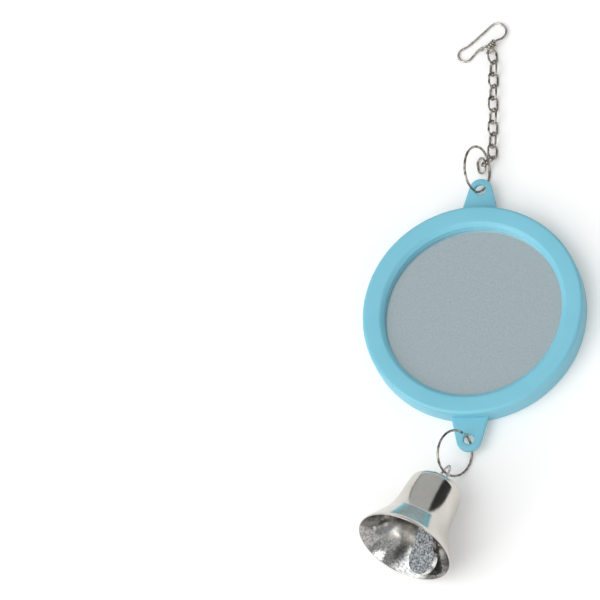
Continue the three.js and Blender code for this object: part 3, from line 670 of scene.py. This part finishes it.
def inward(outline):
    points = [np.array(p) for p in outline]
    inner = [points[0] - (BELL_WALL, 0)]
    for before, point, after in zip(points, points[1:], points[2:]):
        run = unit(after - before)
        inner.append(point + BELL_WALL * np.array((-run[1], run[0])))
    inner.append(points[-1] - (0, BELL_WALL))
    return inner


coarse_inner = inward(bell_outline(5))
bar_height = -(BELL_WALL + HANGER_BAR_DEPTH)
fold_inner = HANGER_WIRE / 2 + CLAPPER_FOLD_CLEARANCE
fold_outer = fold_inner + CLAPPER_SHEET
clapper_length = CLAPPER_DROP + CLAPPER_LOBE_RADIUS


def inner_radius_at(height):
    for low, high in zip(coarse_inner, coarse_inner[1:]):
        if low[1] <= height < high[1]:
            return low[0] + (high[0] - low[0]) * (height - low[1]) / (high[1] - low[1])
    return coarse_inner[0][0]


def drop_half_width(drop):
    neck, shoulder = CLAPPER_NECK_WIDTH / 2, CLAPPER_DROP - CLAPPER_LOBE_RADIUS * 0.6
    if drop < shoulder:
        return neck + (CLAPPER_LOBE_RADIUS * 0.8 - neck) * drop / shoulder
    return math.sqrt(max(0, CLAPPER_LOBE_RADIUS**2 - (drop - CLAPPER_DROP) ** 2))


def clapper_lean():
    for lean in np.arange(0, 60, 0.1):
        for drop in np.arange(1, clapper_length, 0.25):
            sideways = drop * sind(lean) + fold_outer * cosd(lean)
            height = bar_height - drop * cosd(lean) + fold_outer * sind(lean)
            room = inner_radius_at(height) - CLAPPER_WALL_GAP - math.hypot(sideways, drop_half_width(drop))
            if height > -BELL_LENGTH and room < 0:
                return lean
    return 60


def make_bell_shell(matrix):
    outer = bell_outline(24)
    lip = [(BELL_MOUTH_RADIUS - BELL_EDGE_INSET - 0.5 * BELL_EDGE_WALL * (1 - cosd(a)),
            -BELL_LENGTH + BELL_EDGE_ROUND - BELL_EDGE_ROUND * sind(a)) for a in (0, 45, 90, 135, 180)]
    # Inside, the flare opens in one smooth bend up to the thin edge of the mouth
    inner = [p for p in inward(outer) if p[1] > BELL_FLARE_HEIGHT - BELL_LENGTH]
    inner = quad_curve(lip[-1], BELL_INSIDE_BEND, inner[0], 24) + inner
    profile = joined_profile(lip[::-1], outer[1:], inner[::-1])
    obj = lathe("bell_wall", profile, BELL_SEGMENTS, matrix)
    smooth_by_angle(obj, 40)
    outside, inside = bell_material(matrix), bell_inside_material(matrix)
    obj.data.materials.append(outside)
    obj.data.materials.append(inside)
    inside_start = len(lip) + len(outer) - 2
    for index, poly in enumerate(obj.data.polygons):
        poly.material_index = 1 if index // BELL_SEGMENTS >= inside_start else 0
    return dress(obj, outside, "bell", "polished_bell", "bell_shell")


def make_hanger(matrix):
    eye_half = (HANGER_EYE_WIDTH - HANGER_WIRE) / 2
    leg_half = HANGER_LEG_SPACING / 2
    bar_half = (HANGER_BAR_WIDTH - HANGER_WIRE) / 2
    apex, under = HANGER_EYE_HEIGHT - HANGER_WIRE / 2, -BELL_WALL
    half = [(0, apex), (0.45 * eye_half, apex - 0.5), (eye_half, 0.33 * apex), (0.85 * eye_half, 0.17 * apex),
            (leg_half, 0.03 * apex), (leg_half, under - 0.1),
            (0.9 * bar_half, under - 0.3 * HANGER_BAR_DEPTH), (bar_half, under - 0.55 * HANGER_BAR_DEPTH),
            (0.95 * bar_half, under - 0.85 * HANGER_BAR_DEPTH),
            (0.6 * bar_half, bar_height), (0.2 * bar_half, bar_height)]
    right = [vec(x, 0, z) for x, z in half]
    left = [vec(-x, 0, z) for x, z in half[1:]]
    seam = len(half) - 4
    upper_end = vec(bar_half, 0, right[seam][2] + HANGER_SEAM / 2)
    lower_end = vec(bar_half, 0, right[seam][2] - HANGER_SEAM / 2)
    line = [upper_end, *right[:seam][::-1], *left, *right[seam + 1:][::-1], lower_end]
    obj = wire("hanger_wire", smooth_line(line, 180), HANGER_WIRE, 16, matrix)
    return dress(obj, POLISHED_NICKEL, "bell", "nickel_wire", "bell_hanger")


def make_clapper(matrix):
    """Two leaves of one drop-shaped sheet, folded over the hanger's bar."""
    drops = np.concatenate([np.linspace(0, CLAPPER_DROP - CLAPPER_LOBE_RADIUS * 0.6, 14),
                            CLAPPER_DROP - CLAPPER_LOBE_RADIUS * np.cos(np.linspace(0.95, math.pi, 22))])
    drops = np.unique(np.round(drops, 4))
    rows = []

    def leaf(side, d):
        """The leaves leave the bar side by side and lie close together further down."""
        pressed = min(1.0, max(0.0, (d - LEAF_PRESS_START) / LEAF_PRESS_RUN))
        pressed = pressed * pressed * (3 - 2 * pressed)
        inner = fold_inner + (LEAF_GAP - fold_inner) * pressed
        return (side * (inner + CLAPPER_SHEET), -d), (side * inner, -d), drop_half_width(d)

    for d in drops[::-1]:
        rows.append(leaf(-1, d))
    for a in np.linspace(180, 0, 15)[1:-1]:
        rows.append(((fold_outer * cosd(a), fold_outer * sind(a)),
                     (fold_inner * cosd(a), fold_inner * sind(a)), CLAPPER_NECK_WIDTH / 2))
    for d in drops:
        rows.append(leaf(1, d))
    verts, faces = [], []
    across = np.linspace(-1, 1, 9)
    for outer, inner, half in rows:
        half = max(half, 0.05)
        for y, z in (outer, inner):
            for s in across:
                verts.append((s * half, y, z))
    stride, wide = 2 * len(across), len(across)
    for i in range(len(rows) - 1):
        a, b = i * stride, (i + 1) * stride
        for k in range(wide - 1):
            faces.append((a + k, a + k + 1, b + k + 1, b + k))
            faces.append((a + wide + k, b + wide + k, b + wide + k + 1, a + wide + k + 1))
        faces.append((a, b, b + wide, a + wide))
        faces.append((a + wide - 1, a + stride - 1, b + stride - 1, b + wide - 1))
    for a, flip in ((0, False), ((len(rows) - 1) * stride, True)):
        for k in range(wide - 1):
            face = (a + k, a + wide + k, a + wide + k + 1, a + k + 1)
            faces.append(face[::-1] if flip else face)
    obj = new_object("clapper_sheet", verts, faces, matrix)
    mesh = bmesh.new()
    mesh.from_mesh(obj.data)
    bmesh.ops.recalc_face_normals(mesh, faces=mesh.faces)
    mesh.to_mesh(obj.data)
    mesh.free()
    smooth_by_angle(obj, 40)
    obj.data.materials.append(CLAPPER)
    obj.data.materials.append(POLISHED_NICKEL)
    sheet_faces = 2 * (wide - 1)
    for index, poly in enumerate(obj.data.polygons):
        row, place = divmod(index, sheet_faces + 2)
        poly.material_index = 1 if row >= len(rows) - 1 or place >= sheet_faces else 0
    return dress(obj, CLAPPER, "clapper", "raw_sheet", "clapper")


def make_bell():
    point, tangent = ring_point(lower_pose, HANGER_ANGLE_ON_RING)
    arm = HANGER_RISE + BELL_LENGTH
    tip = math.hypot(BELL_MOUTH_RADIUS, arm)
    tilt = math.acos((point[2] - TABLE_CLEARANCE) / tip) - math.atan2(arm, BELL_MOUTH_RADIUS)
    level = -heading_vector(BELL_HEADING)
    towards_mouth = level * math.cos(tilt)
    towards_mouth[2] = math.sin(tilt)
    right = vec(-level[1], level[0], 0)
    down = np.cross(right, towards_mouth)
    lean = right * sind(CLAPPER_SIDE) + down * cosd(CLAPPER_SIDE)
    hinge = np.cross(towards_mouth, lean)
    matrix = placing(point + towards_mouth * HANGER_RISE, hinge, lean)
    make_bell_shell(matrix)
    make_hanger(matrix)
    lean_turn = Matrix.Rotation(math.radians(clapper_lean()), 4, "X")
    swing = Matrix.Translation((0, 0, bar_height * MM)) @ lean_turn
    make_clapper(matrix @ swing)


make_frame()
make_mirror()
make_ring("upper_ring_wire", upper_pose, "upper_ring", "upper_jump_ring")
make_ring("lower_ring_wire", lower_pose, "lower_ring", "lower_jump_ring")
make_clip(*make_chain())
make_bell()


# Floor, light and camera
def make_floor():
    half = 3000
    corners = [(-half, -half, 0), (half, -half, 0), (half, half, 0), (-half, half, 0)]
    obj = new_object("floor", corners, [(0, 1, 2, 3)])
    n = Nodes("pale_floor")
    n.tree.nodes.remove(n.shader)
    tone = n.ramp(n.noise(30, 3), (0.3, (0.92, 0.89, 0.872)), (0.7, (0.93, 0.9, 0.882)))
    diffuse = n.add("ShaderNodeBsdfDiffuse", {"Color": tone})
    path = n.add("ShaderNodeLightPath")
    seen = n.math("MAXIMUM", path.outputs["Is Camera Ray"], path.outputs["Is Glossy Ray"])
    seen = n.math("MAXIMUM", seen, path.outputs["Is Transmission Ray"])
    glow = n.add("ShaderNodeEmission", {"Color": (1, 1, 1, 1), "Strength": n.math("MULTIPLY", seen, 0.16)})
    both = n.add("ShaderNodeAddShader", {0: diffuse.outputs[0], 1: glow.outputs[0]})
    n.tree.links.new(both.outputs[0], n.tree.nodes["Material Output"].inputs["Surface"])
    obj.data.materials.append(n.material)


def add_light(name, place, size, power, colour):
    data = bpy.data.lights.new(name, "AREA")
    data.shape = "RECTANGLE"
    data.size, data.size_y = size
    data.energy = power
    data.color = colour
    obj = bpy.data.objects.new(name, data)
    bpy.context.scene.collection.objects.link(obj)
    obj.location = place
    obj.rotation_euler = (Vector((0, 0, 0.005)) - Vector(place)).to_track_quat("-Z", "Y").to_euler()
    obj.visible_camera = False


def make_world():
    world = bpy.data.worlds.new("studio")
    bpy.context.scene.world = world
    world.use_nodes = True
    tree = world.node_tree
    nodes, links = tree.nodes, tree.links
    nodes.clear()
    coords = nodes.new("ShaderNodeTexCoord").outputs["Generated"]
    path = nodes.new("ShaderNodeLightPath")

    def value(operation, a, b=0.0, c=0.0):
        node = nodes.new("ShaderNodeMath")
        node.operation = operation
        for socket, given in zip(node.inputs, (a, b, c)):
            if isinstance(given, bpy.types.NodeSocket):
                links.new(given, socket)
            else:
                socket.default_value = given
        return node.outputs[0]

    def beside(direction, start, end):
        """From 0 to 1 as the part of a ray along a direction grows from start to end."""
        dot = nodes.new("ShaderNodeVectorMath")
        dot.operation = "DOT_PRODUCT"
        links.new(coords, dot.inputs[0])
        dot.inputs[1].default_value = unit(np.array(direction, float))
        spread = nodes.new("ShaderNodeMapRange")
        spread.interpolation_type = "SMOOTHSTEP"
        links.new(dot.outputs["Value"], spread.inputs["Value"])
        for key, number in (("From Min", start), ("From Max", end), ("To Min", 0), ("To Max", 1)):
            spread.inputs[key].default_value = number
        return spread.outputs["Result"]

    def below(height, fade):
        return value("SUBTRACT", 1.0, beside((0, 0, 1), height - fade, height + fade))

    def dimmed(level, shape, share):
        return value("MULTIPLY", level, value("MULTIPLY_ADD", shape, -share, 1.0))

    # A grey room with a bright ceiling at the left and a weak light at the right, dimmed by a dark wall at the
    # back right, a flag at the front right, a thin strip at the back left and a place above the front
    wall = beside((0.78, -0.53, -0.33), -0.05, 0.03)
    wall = value("MULTIPLY", wall, beside((0.05, 1, 0), 0.05, 0.25))
    wall = value("MULTIPLY", wall, below(0.72, 0.12))
    flag = value("MULTIPLY", beside((0.75, -0.65, 0), 0.55, 0.8), below(0.85, 0.08))
    strip = value("MULTIPLY", beside((-0.56, 0.83, 0), 0.9, 0.97), below(0.07, 0.02))
    above = beside((0.25, -0.33, 0.91), cosd(22), cosd(9))
    level = value("MULTIPLY_ADD", beside((-0.45, -0.38, 0.8), 0.73, 1.0), 2.2, 0.57)
    level = value("MULTIPLY_ADD", beside((0.95, -0.2, 0.25), 0.6, 1.0), 0.4, level)
    level = dimmed(level, wall, 0.94)
    level = dimmed(level, flag, 0.3)
    level = dimmed(level, strip, 0.6)
    level = dimmed(level, above, 0.8)
    level = value("MAXIMUM", level, path.outputs["Is Camera Ray"])
    back = nodes.new("ShaderNodeBackground")
    back.inputs["Color"].default_value = (0.94, 0.985, 1, 1)
    links.new(level, back.inputs["Strength"])
    links.new(back.outputs[0], nodes.new("ShaderNodeOutputWorld").inputs["Surface"])


def make_camera():
    towards = vec(0.2033, -0.3759, 0.9041)
    image_right, image_down = vec(0.9786, 0.0466, -0.2006), vec(-0.0333, -0.9255, -0.3773)
    pixels_per_mm, image_size, origin_px, distance = 4.494, 600, (477.8, 318.9), 4000.0
    off_right, off_down = ((image_size / 2 - px) / pixels_per_mm for px in origin_px)
    aim = off_right * image_right + off_down * image_down
    data = bpy.data.cameras.new("camera")
    data.sensor_fit = "HORIZONTAL"
    data.sensor_width = 36.0
    data.lens = data.sensor_width * distance * pixels_per_mm / image_size
    data.clip_start, data.clip_end = 0.05, 100.0
    obj = bpy.data.objects.new("camera", data)
    bpy.context.scene.collection.objects.link(obj)
    turn = Matrix([[*row] for row in np.array([image_right, -image_down, towards]).T]).to_4x4()
    obj.matrix_world = Matrix.Translation(Vector((aim + towards * distance) * MM)) @ turn
    bpy.context.scene.camera = obj


make_floor()
add_light("key_left", (-0.69, -0.77, 0.47), (0.3, 0.3), 1.4, (1.0, 0.985, 0.96))
add_light("key_right", (0.44, -0.91, 0.43), (0.2, 0.3), 1.1, (1.0, 0.99, 0.97))
make_world()
make_camera()
bpy.context.scene.view_settings.view_transform = "Standard"
